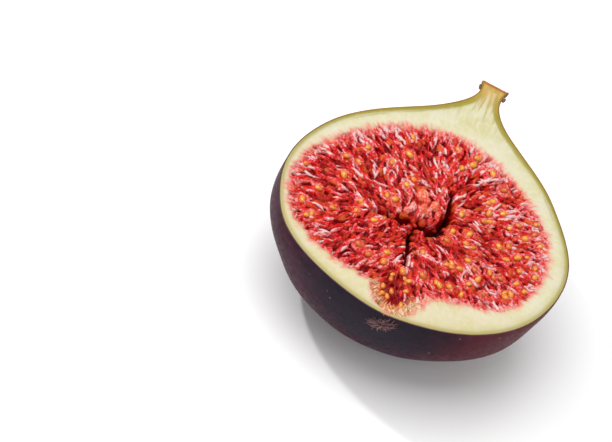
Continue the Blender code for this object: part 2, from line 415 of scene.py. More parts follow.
def add_node(tree, kind, *inputs, stops=(), **settings):
    """Adds one of NODES and gives its output. Inputs are values, or sockets to link, in the kind's
    order; stops are a ramp's (place, colour) pairs; settings are the node's own properties."""
    name, sockets, out, own = NODES[kind]
    node = tree.nodes.new("ShaderNode" + name)
    for key, value in (own | settings).items():
        setattr(node, key, value)
    for key, value in zip(sockets, inputs):
        if isinstance(value, bpy.types.NodeSocket):
            tree.links.new(value, node.inputs[key])
        else:
            node.inputs[key].default_value = value
    for index, (place, colour) in enumerate(stops):
        ramp = node.color_ramp.elements
        stop = ramp[index] if index < 2 else ramp.new(place)
        stop.position, stop.color = place, colour
    return node.outputs[out]


def new_material(name, *attributes):
    """(material, its shader, add_node for its tree, and the values of the attributes that are named)."""
    material = bpy.data.materials.new(name)
    material.use_nodes = True
    add = partial(add_node, material.node_tree)
    values = [add("number", attribute_name=key) for key in attributes]
    return material, material.node_tree.nodes["Principled BSDF"], add, *values


def set_shader(shader, **values):
    """Sets or links the shader's own sockets, named with _ for spaces."""
    for key, value in values.items():
        socket = shader.inputs[key.replace("_", " ")]
        if isinstance(value, bpy.types.NodeSocket):
            shader.id_data.links.new(value, socket)
        else:
            socket.default_value = value


def skin_material(colours):
    """Ripe fig skin: a thin tough rind, near black purple, wine-red and ruddy on its cheeks, darker wine-red
    on the left flank partly as painted shade, dulled by a blue-grey wax bloom that lies in lengthwise
    streaks, with fine tan lenticels, and brown to olive where it dries on the neck."""
    material, shader, add, share = new_material("ripe_fig_skin", "share")
    place, way = add("place"), add("vector", attribute_name="skin_way")
    across, drawn = add("across", place), add("stretch", way, (1.0, 0.16, 1.0))
    clouds = add("noise", place, 1.0 / (14.0 * MM), 2.0)
    mottling = add("noise", place, 1.0 / (2.5 * MM), 4.0)
    narrow = add("noise", drawn, 1.0 / (2.2 * MM), 3.0)
    broad = add("noise", drawn, 1.0 / (7.0 * MM), 3.0)
    # The streaks would all meet at the eye, so they give way to plain mottling there.
    streaks = add("blend", add("ease", share, 0.03, 0.22), mottling, narrow)
    bloom = add("ease", clouds, 0.35, 0.65, 0.00, 0.13)
    bloom = add("times", bloom, add("ease", streaks, 0.30, 0.75, 0.40, 1.0))
    bloom = add("times", bloom, add("ease", share, 0.93, 0.70))
    dried = add("times", add("ease", share, 0.78, 0.97), add("ease", streaks, 0.25, 0.70, 0.45, 1.0))
    specks = add("ease", add("cells", place, 1.0 / (3.4 * MM)), 0.080, 0.045)
    sparse = add("noise", place, 1.0 / (9.0 * MM), 1.0)
    specks = add("times", specks, add("ease", sparse, 0.42, 0.58, 0.0, 0.6))
    base = add("colour", add("ease", streaks, 0.30, 0.72), colours.skin_dark, colours.skin_red)
    for over, colour in (
        (add("ease", broad, 0.32, 0.62, 0.25, 0.80), colours.skin),
        # The left flank's darker wine-red is partly the skin's own colour and partly painted shade that
        # damps the sheen there.
        (add("ease", across, -14.0 * MM, -28.0 * MM, 0.0, 0.65), colours.skin_wine_and_shade),
        (add("ease", across, 8.0 * MM, 30.0 * MM, 0.0, 0.60), colours.skin_ruddy),
        (bloom, colours.bloom),
        (dried, colours.neck),
        (add("ease", share, 0.100, 0.010, 0.0, 0.85), colours.skin_eye),
        (specks, colours.lenticel),
    ):
        base = add("colour", over, base, colour)
    rough = add("ease", add("noise", place, 1.0 / (0.9 * MM), 3.0), 0.30, 0.70, 0.34, 0.50)
    relief = add("noise", add("stretch", way, (1.0, 0.45, 1.0)), 1.0 / (0.55 * MM), 4.0)
    relief = add("times_plus", streaks, 0.8, relief)
    relief = add("times_plus", specks, 0.25, relief)
    bump = add("bump", relief, 0.30, 0.12 * MM)
    set_shader(shader, Base_Color=base, Roughness=rough, Normal=bump, IOR=1.40, Specular_IOR_Level=0.025)
    return material


def flesh_nodes(add, colours):
    """(colour of the cut flesh, fine grain, streak noise, depth inside the pulp): cream with greener
    clouds and pale flecks, creamier beside the pulp and a little tanned at the eye, green-yellow under
    the skin, with a faint vein a little inside it towards the neck, fibrous and dry at the stem, and
    stained pink in streaks where the pulp begins."""
    rim, pulp, share = (add("number", attribute_name=key) for key in ("rim_mm", "pulp_mm", "share"))
    place = add("place")
    grain = add("noise", place, 1.0 / (1.1 * MM), 4.0)
    cloud = add("noise", place, 1.0 / (6.0 * MM), 2.0)
    streak = add("noise", add("vector", attribute_name="spoke"), 1.0 / (0.6 * MM), 3.0)
    fibres = add("noise", add("stretch", place, (1.0, 0.12, 1.0)), 1.0 / (0.7 * MM), 3.0)
    near_pulp = add("ease", pulp, -5.5, -1.2, 0.0, 0.45)
    in_streak = add("ease", streak, 0.30, 0.62, 0.35, 1.0)
    creamy = add("times", near_pulp, in_streak)
    # The band under the skin is about a millimetre wide, and half a millimetre more towards the neck.
    band = add("minus", add("times", grain, 0.5), rim)
    band = add("plus", band, add("ease", share, 0.60, 0.95, 0.0, 0.55))
    band = add("times", add("ease", band, -1.10, -0.15), add("ease", share, 0.15, 0.70, 0.55, 0.92))
    vein = add("ease", add("unsigned", add("minus", rim, 1.35)), 0.22, 0.05, 0.0, 0.5)
    vein = add("times", vein, add("ease", add("noise", place, 1.0 / (5.0 * MM), 2.0), 0.42, 0.56))
    vein = add("times", vein, add("ease", share, 0.45, 0.75))
    fibrous = add("times", add("ease", fibres, 0.45, 0.60), add("ease", share, 0.78, 0.93, 0.0, 0.60))
    uneven = add("ease", fibres, 0.35, 0.60, 0.45, 1.0)
    # The rind's own edge is wine-red below and ochre brown towards the neck, where it is thicker.
    rind = add("colour", add("ease", share, 0.35, 0.75), colours.cut_edge, colours.neck_edge)
    thickness = add("ease", share, 0.35, 0.90, 0.32, 0.62)
    stain = add("times_plus", streak, 2.9, pulp)
    flesh = add("colour", add("ease", cloud, 0.35, 0.65), colours.flesh, colours.flesh_green)
    for over, colour in (
        (add("ease", grain, 0.44, 0.72, 0.0, 0.50), colours.flesh_pale),
        (creamy, colours.flesh_pale),
        (add("ease", rim, 2.6, 0.3, 0.0, 0.24), colours.under_skin),
        (add("ease", share, 0.34, 0.04, 0.0, 0.15), colours.stem_fibre),
        (band, colours.under_skin),
        (vein, colours.under_skin),
        (fibrous, colours.under_skin),
        (add("times", add("ease", share, 0.875, 0.985, 0.0, 0.85), uneven), colours.stem_fibre),
        (add("ease", rim, thickness, 0.10), rind),
        (add("times", add("ease", share, 0.982, 0.998, 0.0, 0.60), uneven), colours.stem_end),
        (add("ease", stain, 0.0, 2.2, 0.0, 0.95), colours.stain),
    ):
        flesh = add("colour", over, flesh, colour)
    return flesh, grain, streak, pulp


def cut_face_material(colours):
    """Cut fig flesh: firm, moist and slightly translucent cream, green-yellow under the rind, stained
    pink where the pulp begins, and the crimson of the pulp's painted gap shade where it is the wet floor
    under the pulp."""
    material, shader, add = new_material("cut_fig_flesh")
    flesh, grain, _, pulp = flesh_nodes(add, colours)
    fibres = add("noise", add("place"), 1.0 / (0.5 * MM), 5.0, 0.65)
    set_shader(
        shader,
        Base_Color=add("colour", add("ease", pulp, 0.2, 0.9), flesh, colours.pulp_gap_shade),
        Roughness=add("ease", grain, 0.30, 0.70, 0.34, 0.50),
        Normal=add("bump", add("times_plus", grain, 1.5, fibres), 0.30, 0.15 * MM),
        IOR=1.38,
        Coat_Weight=0.12,
        Coat_Roughness=0.25,
        Subsurface_Weight=0.35,
        Subsurface_Radius=(1.0, 0.8, 0.5),
        Subsurface_Scale=1.2 * MM,
    )
    return material


def stem_end_material(colours):
    """The stem's cut end: pale woody fibre, dried to orange-brown, rough and matt."""
    material, shader, add = new_material("dried_stem_end")
    grain = add("noise", add("place"), 1.0 / (0.6 * MM), 4.0, 0.65)
    base = add("colour", add("ease", grain, 0.35, 0.65), colours.stem_fibre, colours.stem_end)
    rough = add("ease", grain, 0.30, 0.70, 0.60, 0.85)
    set_shader(shader, Base_Color=base, Roughness=rough, Normal=add("bump", grain, 0.6, 0.2 * MM))
    return material


def pulp_material(colours, name="wet_fig_pulp", sheet=False):
    """Wet fig pulp: soft translucent drops and petals full of juice, from deep crimson to near white
    by tone, warmer where seeds ripen, with painted shade by depth, crimson in the gaps and near-black red
    deep in the fissure, and a clear film of juice over them that gives sharp small highlights. A sheet
    goes over into bracts at the eye and flesh at its edge."""
    material, shader, add, tone, warm, deep = new_material(name, "tone", "warm", "deep_mm")
    place = add("place")
    mottle = add("noise", place, 1.0 / (0.45 * MM), 3.0)
    tone = add("plus", tone, add("ease", mottle, 0.30, 0.70, -0.22, 0.22))
    if sheet:
        flesh, _, streak, pulp = flesh_nodes(add, colours)
        streaky = add("ease", streak, 0.30, 0.70, -0.20, 0.20, interpolation_type="LINEAR")
        tone = add("plus", tone, streaky)
    reds = (colours.pulp_deep, colours.pulp_red, colours.pulp_pink, colours.pulp_pale, colours.pulp_white)
    base = add("ramp", tone, stops=zip((0.0, 0.30, 0.56, 0.78, 1.0), reds))
    for over, colour in (
        (warm, colours.pulp_warm),
        # Painted shade by depth below the drops' tops: crimson in the gaps, near-black red deep in the
        # fissure.
        (add("ease", deep, 0.04, 0.40), colours.pulp_gap_shade),
        (add("ease", deep, 0.40, 2.9), colours.pulp_fissure_shade),
    ):
        base = add("colour", over, base, colour)
    if sheet:
        papery = add("colour", add("ease", tone, 0.10, 0.90), colours.bract_dark, colours.bract_pale)
        base = add("colour", add("number", attribute_name="bracts"), base, papery)
        inner = add("ease", add("times_plus", streak, 2.2, pulp), 0.8, 2.2)
        base = add("colour", inner, flesh, base)
    bump = add("bump", add("noise", place, 1.0 / (0.40 * MM), 2.0), 0.9, 0.20 * MM)
    set_shader(
        shader,
        Base_Color=base,
        Roughness=add("ease", mottle, 0.30, 0.70, 0.16, 0.32),
        Normal=bump,
        IOR=1.36,
        Specular_IOR_Level=0.06,
        Coat_Weight=0.45,
        Coat_Roughness=0.07,
        Coat_IOR=1.36,
        Coat_Normal=bump,
        Subsurface_Weight=0.22,
        Subsurface_Radius=(1.0, 0.15, 0.15),
        Subsurface_Scale=0.35 * MM,
    )
    return material


def seed_material(colours):
    """Fig seeds: small hard achenes in a film of juice, golden with orange mottling, red where they lie
    under juice, and redder low on each seed, partly the juice it sits in and partly painted shade."""
    material, shader, add, tone, sunk = new_material("fig_seed", "tone", "sunk")
    mottle = add("noise", add("place"), 1.0 / (0.5 * MM), 2.0)
    base = add("colour", add("ease", mottle, 0.35, 0.70), colours.seed, colours.seed_dark)
    # Redder by each seed's random tone, and lower down on each seed: partly juice, partly painted shade on
    # the underside.
    for juice_and_shade in (add("ease", tone, 0.4, 1.0, 0.0, 0.75), add("ease", sunk, -0.5, 0.5)):
        base = add("colour", juice_and_shade, base, colours.seed_juice_and_shade)
    set_shader(
        shader,
        Base_Color=base,
        Roughness=add("ease", mottle, 0.30, 0.70, 0.26, 0.38),
        IOR=1.45,
        Coat_Weight=0.6,
        Coat_Roughness=0.06,
        Subsurface_Weight=0.25,
        Subsurface_Radius=(1.0, 0.5, 0.2),
        Subsurface_Scale=0.5 * MM,
    )
    return material


def bract_material(name, pale, dark):
    """Dry bracts, scales and chips: papery and fibrous, pale to brown by tone, matt."""
    material, shader, add, tone = new_material(name, "tone")
    grain = add("noise", add("place"), 1.0 / (0.4 * MM), 3.0)
    tone = add("plus", tone, add("ease", grain, 0.25, 0.75, -0.2, 0.2))
    base = add("colour", add("ease", tone), pale, dark)
    rough = add("ease", grain, 0.30, 0.70, 0.42, 0.70)
    set_shader(shader, Base_Color=base, Roughness=rough, Normal=add("bump", grain, 0.4, 0.1 * MM))
    set_shader(shader, Subsurface_Weight=0.15, Subsurface_Scale=0.5 * MM)
    return material


SKIN_COLUMNS = 129  # points across the skin, from one cut edge to the other
FACE_COLUMNS = 103  # points across the cut face, from its middle line to one edge
FAR_OUTSIDE = -9.0  # depth inside the pulp, in mm, where there is none near
MERGE_GAP = 1e-6  # points closer than this, in metres, are one


def build_body(colours):
    """The closed body. The skin is the meridian carried half a turn; the cut face is the same rows
    run straight across, x = middle + side * v * half width; the stem's end is rings of half circles."""
    turns = np.linspace(0.0, math.pi, SKIN_COLUMNS)
    rows = len(ALONG)
    skin = skin_points(ALONG[:, None], RADIUS[:, None], turns[None, :])
    reach = np.linspace(0.0, 1.0, FACE_COLUMNS)
    reach = 0.75 * reach + 0.25 * np.sin(reach * math.pi / 2.0)
    across = np.concatenate((-reach[:0:-1], reach))
    middle = lean_at(ALONG)
    right = grown_radius(ALONG, RADIUS, np.zeros(rows))
    left = grown_radius(ALONG, RADIUS, np.full(rows, math.pi))
    half = np.where(across[None, :] > 0, right[:, None], left[:, None])
    face_x = middle[:, None] + across[None, :] * half
    face_y = ALONG[:, None] - swelling_at(np.abs(across)[None, :] * RADIUS[:, None], ALONG[:, None])
    plan = np.stack((face_x.ravel(), face_y.ravel()), axis=-1)
    height, rim, pulp = cut_height(plan)
    on_edge = np.abs(np.tile(across, rows)) > 1.0 - 1e-9
    on_edge |= np.repeat(np.isin(np.arange(rows), (0, rows - 1)), len(across))
    height[on_edge] = 0.0
    rim[on_edge] = 0.0
    face = np.column_stack((plan, height))
    end_rings = reach[1:-1]
    tip = skin[-1]
    centre = np.array((middle[-1], LENGTH, 0.0))
    end = centre + (tip[None] - centre) * end_rings[:, None, None]
    ring_rough = 0.16 * MM * np.sin(math.pi * end_rings)[:, None]
    rough = waves(end.reshape(-1, 3), 1.1 * MM, 41).reshape(end.shape[:2])
    end[:, 1:-1, 1] += (ring_rough * rough)[:, 1:-1]
    end = np.concatenate((np.tile(centre, (1, len(turns), 1)), end, tip[None]), axis=0)
    points = np.vstack((skin.reshape(-1, 3), face, end.reshape(-1, 3)))
    skin_count, face_count = skin.shape[0] * skin.shape[1], len(face)
    faces = (
        grid_faces(rows, len(turns), 0, flip=True),
        grid_faces(rows, len(across), skin_count),
        grid_faces(len(end_rings) + 2, len(turns), skin_count + face_count),
    )
    kinds = np.repeat((0, 1, 2), [len(group) for group in faces])
    arc = np.concatenate(((0.0,), np.cumsum(np.hypot(np.diff(ALONG), np.diff(RADIUS)))))
    way = np.zeros((len(points), 3))
    way[:skin_count, 0] = np.tile(turns * MAX_RADIUS, rows)
    way[:skin_count, 1] = np.repeat(arc, len(turns))
    rim_all, pulp_all = np.zeros(len(points)), np.full(len(points), FAR_OUTSIDE)
    rim_all[skin_count : skin_count + face_count] = rim / MM
    pulp_all[skin_count : skin_count + face_count] = pulp / MM
    values = {"rim_mm": rim_all, "pulp_mm": pulp_all, "share": points[:, 1] / LENGTH}
    values |= {"skin_way": way, "spoke": spokes(points)}
    materials = (skin_material(colours), cut_face_material(colours), stem_end_material(colours))
    body = make_piece("fig_body", points, faces, materials, values)
    body.data.polygons.foreach_set("material_index", kinds.astype(np.int32))
    bm = bmesh.new()
    bm.from_mesh(body.data)
    bmesh.ops.remove_doubles(bm, verts=bm.verts, dist=MERGE_GAP)
    bmesh.ops.recalc_face_normals(bm, faces=bm.faces)
    bm.to_mesh(body.data)
    bm.free()
    body.data.shade_smooth()
    body.data.set_sharp_from_angle(angle=math.radians(50.0))
    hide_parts(NODE)
    return body


def closed_by(piece, ledge, floor, drawn_in):
    """Closes an open sheet: its edge goes straight down to the height ledge, from there to the height
    floor while it is drawn in towards the piece's middle, and is filled there."""
    bm = bmesh.new()
    bm.from_mesh(piece.data)
    middle = sum((vert.co for vert in bm.verts), Vector()) / len(bm.verts)
    for height, share in ((ledge, 1.0), (floor, drawn_in)):
        rim = [edge for edge in bm.edges if edge.is_boundary]
        lower = bmesh.ops.extrude_edge_only(bm, edges=rim)["geom"]
        for vert in (part for part in lower if isinstance(part, bmesh.types.BMVert)):
            vert.co.xy = middle.xy + (vert.co.xy - middle.xy) * share
            vert.co.z = height
    bmesh.ops.holes_fill(bm, edges=[edge for edge in bm.edges if edge.is_boundary], sides=0)
    bmesh.ops.recalc_face_normals(bm, faces=bm.faces)
    bm.to_mesh(piece.data)
    bm.free()
    piece.data.shade_smooth()
    piece.data.set_sharp_from_angle(angle=math.radians(80.0))


def threads(lines, widths, thicknesses, sides, up=(0.0, 0.0, 1.0)):
    """(points, faces, share along) of closed threads. Each line's inner points carry an ellipse,
    point + width * cos(a) * side + thickness * sin(a) * top, where side is the line's way crossed
    with up and top is side crossed with the way; its first and last points close the ends."""
    count, rings = lines.shape[0], lines.shape[1] - 2
    ways = unit(np.gradient(lines, axis=1))[:, 1:-1]
    side = unit(np.cross(ways, np.broadcast_to(up, ways.shape)))
    top = np.cross(side, ways)
    turn = np.arange(sides) * (2.0 * math.pi / sides)
    wide = (widths[..., None] * np.cos(turn))[..., None] * side[:, :, None]
    tall = (thicknesses[..., None] * np.sin(turn))[..., None] * top[:, :, None]
    rounds = (lines[:, 1:-1, None] + wide + tall).reshape(count, rings * sides, 3)
    points = np.concatenate((rounds, lines[:, :1], lines[:, -1:]), axis=1)
    each = rings * sides + 2
    r, s = (k.ravel() for k in np.meshgrid(np.arange(rings - 1), np.arange(sides), indexing="ij"))
    after = (s + 1) % sides
    quads = np.stack((r * sides + s, (r + 1) * sides + s, (r + 1) * sides + after, r * sides + after), -1)
    k, last = np.arange(sides), (rings - 1) * sides
    start = np.stack((np.full(sides, each - 2), k, (k + 1) % sides), -1)
    finish = np.stack((np.full(sides, each - 1), last + (k + 1) % sides, last + k), -1)
    offsets = (np.arange(count) * each)[:, None, None]
    faces = [(f[None] + offsets).reshape(-1, f.shape[1]) for f in (quads, np.vstack((start, finish)))]
    inner = np.repeat(np.linspace(0.0, 1.0, rings + 2)[1:-1], sides)
    share = np.tile(np.concatenate((inner, (0.0, 1.0))), count)
    return points.reshape(-1, 3), faces, share


EYE_TOP = 0.150  # threads keep this share of the length away from the eye
SEED_DRAW = 201
SEED_SPACING = 3.2 * MM
CORE_SEED_SPACING = 2.3 * MM
FLOW_CENTRE = 0.39 * LENGTH  # the little flowers point roughly here, on the middle line
SPOKE_RADIUS = 22.0 * MM  # streaks round that centre are true to size at this distance
SPOKE_STRETCH = 0.2
SHEET_STEP = 0.142 * MM
SHEET_MARGIN = 2.0 * MM
SHEET_FLOOR = -0.95  # the gaps between drops and petals, in mm below the cut plane
SHEET_OVERLAP = 0.30 * MM  # how far the sheet goes on under the flesh's edge
SHEET_LEDGE = -1.4 * MM  # the edge goes straight down to here
SHEET_BASE = -7.8 * MM  # and to here while it is drawn in to SHEET_DRAWN_IN of its size
SHEET_DRAWN_IN = 0.62
MERGE = 15.0  # how sharply drops and petals part from one another, per mm


def spokes(points):
    """Coordinates for streaks that run to FLOW_CENTRE: the direction from it times SPOKE_RADIUS, and
    the distance from it times SPOKE_STRETCH."""
    away = points[:, :2] - (0.0, FLOW_CENTRE)
    far = np.linalg.norm(away, axis=1)[:, None]
    return np.hstack((away / np.maximum(far, 1e-9) * SPOKE_RADIUS, far * SPOKE_STRETCH))


def scatter(spacing, margin, seed):
    """Plan points over the pulp on a hexagonal grid, each moved at random by up to half the spacing,
    and kept where the pulp is at least margin deep."""
    rng = np.random.default_rng(seed)
    low, high = PULP_LOOP.min(0) - 4.0 * MM, PULP_LOOP.max(0) + 4.0 * MM
    low[1] = FUNNEL_ENDS[0] * LENGTH
    columns, rows = (np.arange(low[k], high[k], spacing * (1.0, 0.866)[k]) for k in (0, 1))
    x, y = np.meshgrid(columns, rows)
    x = x + (np.arange(len(rows)) % 2)[:, None] * spacing / 2.0
    plan = np.column_stack((x.ravel(), y.ravel()))
    plan += rng.uniform(-0.5, 0.5, plan.shape) * spacing
    return plan[pulp_depth(plan) > margin]


def flow_heading(plan):
    """The way the little flowers point: towards the nearest arm of the fissure, swayed by soft noise
    that grows to the right, where the pulp is tangled."""
    arms = [way_to(plan, np.array(points) * LENGTH) for points, _, _ in FISSURE_ARMS]
    nearest = np.argmin([arm[0] for arm in arms], axis=0)
    feet = np.stack([arm[1] for arm in arms])[nearest, np.arange(len(plan))]
    centre = np.array((0.0, FLOW_CENTRE))
    aim = 0.50 * unit(feet - plan) + 0.50 * unit(centre - plan)
    tangle = 0.22 + 0.70 * smooth_step(2.0 * MM, 14.0 * MM, plan[:, 0])
    sway = 0.35 * waves(plan, 9.0 * MM, 51) + 0.85 * tangle * waves(plan, 3.4 * MM, 52)
    return np.arctan2(aim[:, 1], aim[:, 0]) + sway


def tone_patches(plan):
    """Soft noise that makes whole patches of pulp redder or paler."""
    return 0.6 * waves(plan, 3.4 * MM, 61) + 0.7 * waves(plan, 9.0 * MM, 62)


def seed_plan():
    """(where the seeds lie, their sizes in shares of a full seed): scattered, thinned to the left and
    far side, where fewer show, and small and close together in the core of the eye's funnel."""
    rng = np.random.default_rng(SEED_DRAW)
    plan = scatter(SEED_SPACING, 1.1 * MM, SEED_DRAW)
    right = smooth_step(-6.0 * MM, 10.0 * MM, plan[:, 0])
    low = 1.0 - smooth_step(0.20 * LENGTH, 0.62 * LENGTH, plan[:, 1])
    keep = 0.16 + 0.40 * right + 0.20 * low
    split, _ = fissure_cut(plan)
    clear = (split < 0.8 * MM) & (plan[:, 1] > 0.17 * LENGTH)
    clear &= clear_of(plan, CROWD_SPOTS, 1.6 * MM)
    plan = plan[(rng.uniform(size=len(plan)) < keep) & clear]
    core = scatter(CORE_SEED_SPACING, 0.2 * MM, SEED_DRAW + 3)
    core = core[core_share(core, 0.0, 1.02) > 0.0]
    sizes = np.concatenate((rng.uniform(0.78, 1.10, len(plan)), rng.uniform(0.70, 0.86, len(core))))
    return np.vstack((plan, core)), sizes


# The grains that make the sheet, lowest first; sizes in mm. First come plump drops full of juice, then
# narrower and pinker petals, and then petals that are nearly white.
GRAINS = (
    dict(
        seed=101, spacing=1.30, margin=0.0, stray=0.35, length=(1.6, 3.2), width=(0.95, 1.65), bend=0.12,
        top=(-0.42, 0.16), rise=0.95, tone=(-0.10, 0.30), rim=(0.0, 0.20), patch=0.20, edge=0.34, warm=0.45,
    ),
    dict(
        seed=102, spacing=1.50, margin=0.0, stray=0.30, length=(2.0, 4.2), width=(0.50, 1.05), bend=0.14,
        top=(-0.36, 0.22), rise=0.80, tone=(0.02, 0.56), rim=(-0.1, 0.30), patch=0.26, edge=0.34, warm=0.22,
    ),
    dict(
        seed=103, spacing=1.90, margin=-0.1, stray=0.28, length=(2.0, 5.0), width=(0.44, 0.98), bend=0.13,
        top=(-0.30, 0.26), rise=0.70, tone=(0.50, 0.96), rim=(-0.3, 0.0), patch=0.30, edge=0.06, warm=0.0,
    ),
)  # fmt: skip


def grain_layer(x, y, kind):
    """(weight, weight times tone, weight times warmth) of one kind of grain over the grid, scattered
    clear of the crowd. With u along a grain and v across it, less bend u squared, q is (u / half
    length) squared plus (v / half width) squared; the grain's height is top - rise q to the 1.3, and
    its weight e to MERGE times that."""
    rng = np.random.default_rng(kind["seed"])
    plan = scatter(kind["spacing"] * MM, kind["margin"] * MM, kind["seed"])
    plan = plan[clear_of(plan, CROWD_SPOTS, 0.85 * MM)]
    count = len(plan)
    heading = flow_heading(plan) + rng.normal(0.0, kind["stray"], count)
    half_length, half_width = (rng.uniform(*kind[key], count) * MM / 2.0 for key in ("length", "width"))
    bend = rng.normal(0.0, kind["bend"], count) / MM
    top = rng.uniform(*kind["top"], count)
    depth = pulp_depth(plan) / MM
    tone = rng.uniform(*kind["tone"], count) + kind["patch"] * tone_patches(plan)
    tone += kind["edge"] * (1.0 - smooth_step(0.0, 4.5, depth))
    rim = rng.uniform(*kind["rim"], count)
    warm = kind["warm"] * rng.uniform(0.0, 1.0, count) ** 3
    reach = int(half_length.max() * 1.15 / SHEET_STEP) + 1
    offsets = np.arange(-reach, reach + 1)
    column = np.rint((plan[:, 0] - x[0]) / SHEET_STEP).astype(int)[:, None, None] + offsets[None, None, :]
    row = np.rint((plan[:, 1] - y[0]) / SHEET_STEP).astype(int)[:, None, None] + offsets[None, :, None]
    column, row = np.broadcast_arrays(np.clip(column, 0, len(x) - 1), np.clip(row, 0, len(y) - 1))
    away_x, away_y = x[column] - plan[:, 0, None, None], y[row] - plan[:, 1, None, None]
    cos, sin = np.cos(heading)[:, None, None], np.sin(heading)[:, None, None]
    u, v = away_x * cos + away_y * sin, away_y * cos - away_x * sin
    v = v - bend[:, None, None] * u * u
    taper = 1.0 - 0.25 * np.clip(u / half_length[:, None, None], -1.0, 1.0)
    q = (u / half_length[:, None, None]) ** 2 + (v / half_width[:, None, None] / taper) ** 2
    near = q < 2.2
    q = q[near]
    which = np.broadcast_to(np.arange(count)[:, None, None], near.shape)[near]
    weight = np.exp(MERGE * (top[which] - kind["rise"] * q**1.3))
    toned = weight * (tone[which] + rim[which] * np.minimum(q, 1.0) ** 2)
    cell = (row * len(x) + column)[near]
    cells = len(x) * len(y)
    return [np.bincount(cell, value, cells) for value in (weight, toned, weight * warm[which])]


@lru_cache
def pulp_sheet():
    """The pulp's surface on a square grid, as a dict of arrays. Its relief is the logarithm of the sum
    of all weights over MERGE, a maximum that runs together where grains meet, and its tone and warmth
    their means by weight. Round each seed stands a pale ring, broken on one side, and each of the
    crowd is a dented cap, top - 0.7 q to the 1.3 high with q as for a grain. The surface is relief
    less fissure inside the pulp and flesh outside it."""
    low, high = PULP_LOOP.min(0) - SHEET_MARGIN, PULP_LOOP.max(0) + SHEET_MARGIN
    low[1] = FUNNEL_ENDS[0] * LENGTH - SHEET_MARGIN
    x, y = (np.arange(low[k], high[k], SHEET_STEP) for k in (0, 1))
    plan = np.column_stack([part.ravel() for part in np.meshgrid(x, y)])
    weight = np.exp(MERGE * (SHEET_FLOOR + 0.15 * waves(plan, 1.2 * MM, 32)))
    toned, warmed = 0.05 * weight, 0.0 * weight
    for kind in GRAINS:
        layer = grain_layer(x, y, kind)
        weight, toned, warmed = weight + layer[0], toned + layer[1], warmed + layer[2]
    seeds, sizes = seed_plan()
    rng = np.random.default_rng(SEED_DRAW + 2)
    gap, foot = np.full(len(plan), 9.0), np.zeros(len(plan), int)
    for some in np.array_split(np.arange(len(plan)), 40):
        away = np.linalg.norm(plan[some, None] - seeds[None], axis=-1) / MM
        foot[some], gap[some] = away.argmin(axis=1), away.min(axis=1)
    gap = gap / sizes[foot]
    open_side = rng.uniform(0.0, 2.0 * math.pi, len(seeds))[foot]
    turn = np.arctan2(*(plan - seeds[foot]).T)
    broken = 0.45 + 0.55 * np.cos(turn - open_side)
    ring = np.exp(MERGE * (-0.20 + 0.40 * bell(0.95, 0.22, gap) * broken - 2.0 * (gap > 1.6)))
    weight, toned, warmed = weight + ring, toned + ring * 0.58, warmed + ring * 0.08
    dented = 1.0 + waves(plan, 0.9 * MM, 34)
    for spot, (_, _, long, wide, top, pale, hot) in zip(CROWD_SPOTS, CROWD):
        away = (plan - spot) / MM
        q = (away[:, 0] / wide * 2.0) ** 2 + (away[:, 1] / long * 2.0) ** 2 + 0.15 * dented
        cap = np.exp(MERGE * (top - 0.7 * np.minimum(q, 8.0) ** 1.3))
        weight, toned, warmed = weight + cap, toned + cap * pale, warmed + cap * hot
    relief = np.log(weight) / MERGE - 0.45 * bell(0.0, 0.65, gap)
    split, near = fissure_cut(plan, 0.35 * MM * np.clip(relief + 0.1, -0.6, 0.6))
    flesh, rim = flesh_height(plan)
    pulp = pulp_depth(plan)
    share = plan[:, 1] / LENGTH
    funnel = (1.0 - smooth_step(0.10, 0.17, share)) * 0.30 * MM
    level = relief * MM + 0.22 * MM * near + 0.18 * MM * waves(plan, 4.5 * MM, 33) - funnel
    inward = smooth_step(-0.25 * MM, 1.0 * MM, pulp)
    height = flesh * (1.0 - inward) + under_ceiling(level) * inward - split * inward
    height = height - 0.03 * MM * (1.0 - smooth_step(-0.30 * MM, -0.05 * MM, pulp))
    # The seedy core of the funnel is darker: a deeper red tone, and painted shade where it lies low.
    core = core_share(plan, 0.6, 1.3)
    tone = toned / weight - 0.32 * core + 0.10 * smooth_step(0.36, 0.58, share)
    # deep is how far a place lies below the drops' tops and inside the fissure; the material paints shade by
    # it.
    deep = np.maximum(-relief - 0.05, 0.0) + 0.6 * np.maximum(split / MM - 1.3, 0.0)
    deep = deep * smooth_step(0.2, 2.2, pulp / MM) + 1.6 * core * np.maximum(0.15 - relief, 0.0)
    return {
        "x": x, "y": y, "plan": plan, "height": height, "tone": tone, "warm": warmed / weight,
        "deep_mm": deep, "pulp_mm": pulp / MM, "rim_mm": rim / MM, "share": share,
        "bracts": bract_share(plan),
    }  # fmt: skip


def on_sheet(plan):
    """The sheet's height at plan points, between its grid's four nearest points."""
    sheet = pulp_sheet()
    x, y = sheet["x"], sheet["y"]
    heights = sheet["height"].reshape(len(y), len(x))
    across = np.clip((plan[..., 0] - x[0]) / SHEET_STEP, 0.0, len(x) - 1.001)
    along = np.clip((plan[..., 1] - y[0]) / SHEET_STEP, 0.0, len(y) - 1.001)
    i, j = across.astype(int), along.astype(int)
    s, t = across - i, along - j
    near = heights[j, i] * (1.0 - s) + heights[j, i + 1] * s
    return near * (1.0 - t) + (heights[j + 1, i] * (1.0 - s) + heights[j + 1, i + 1] * s) * t


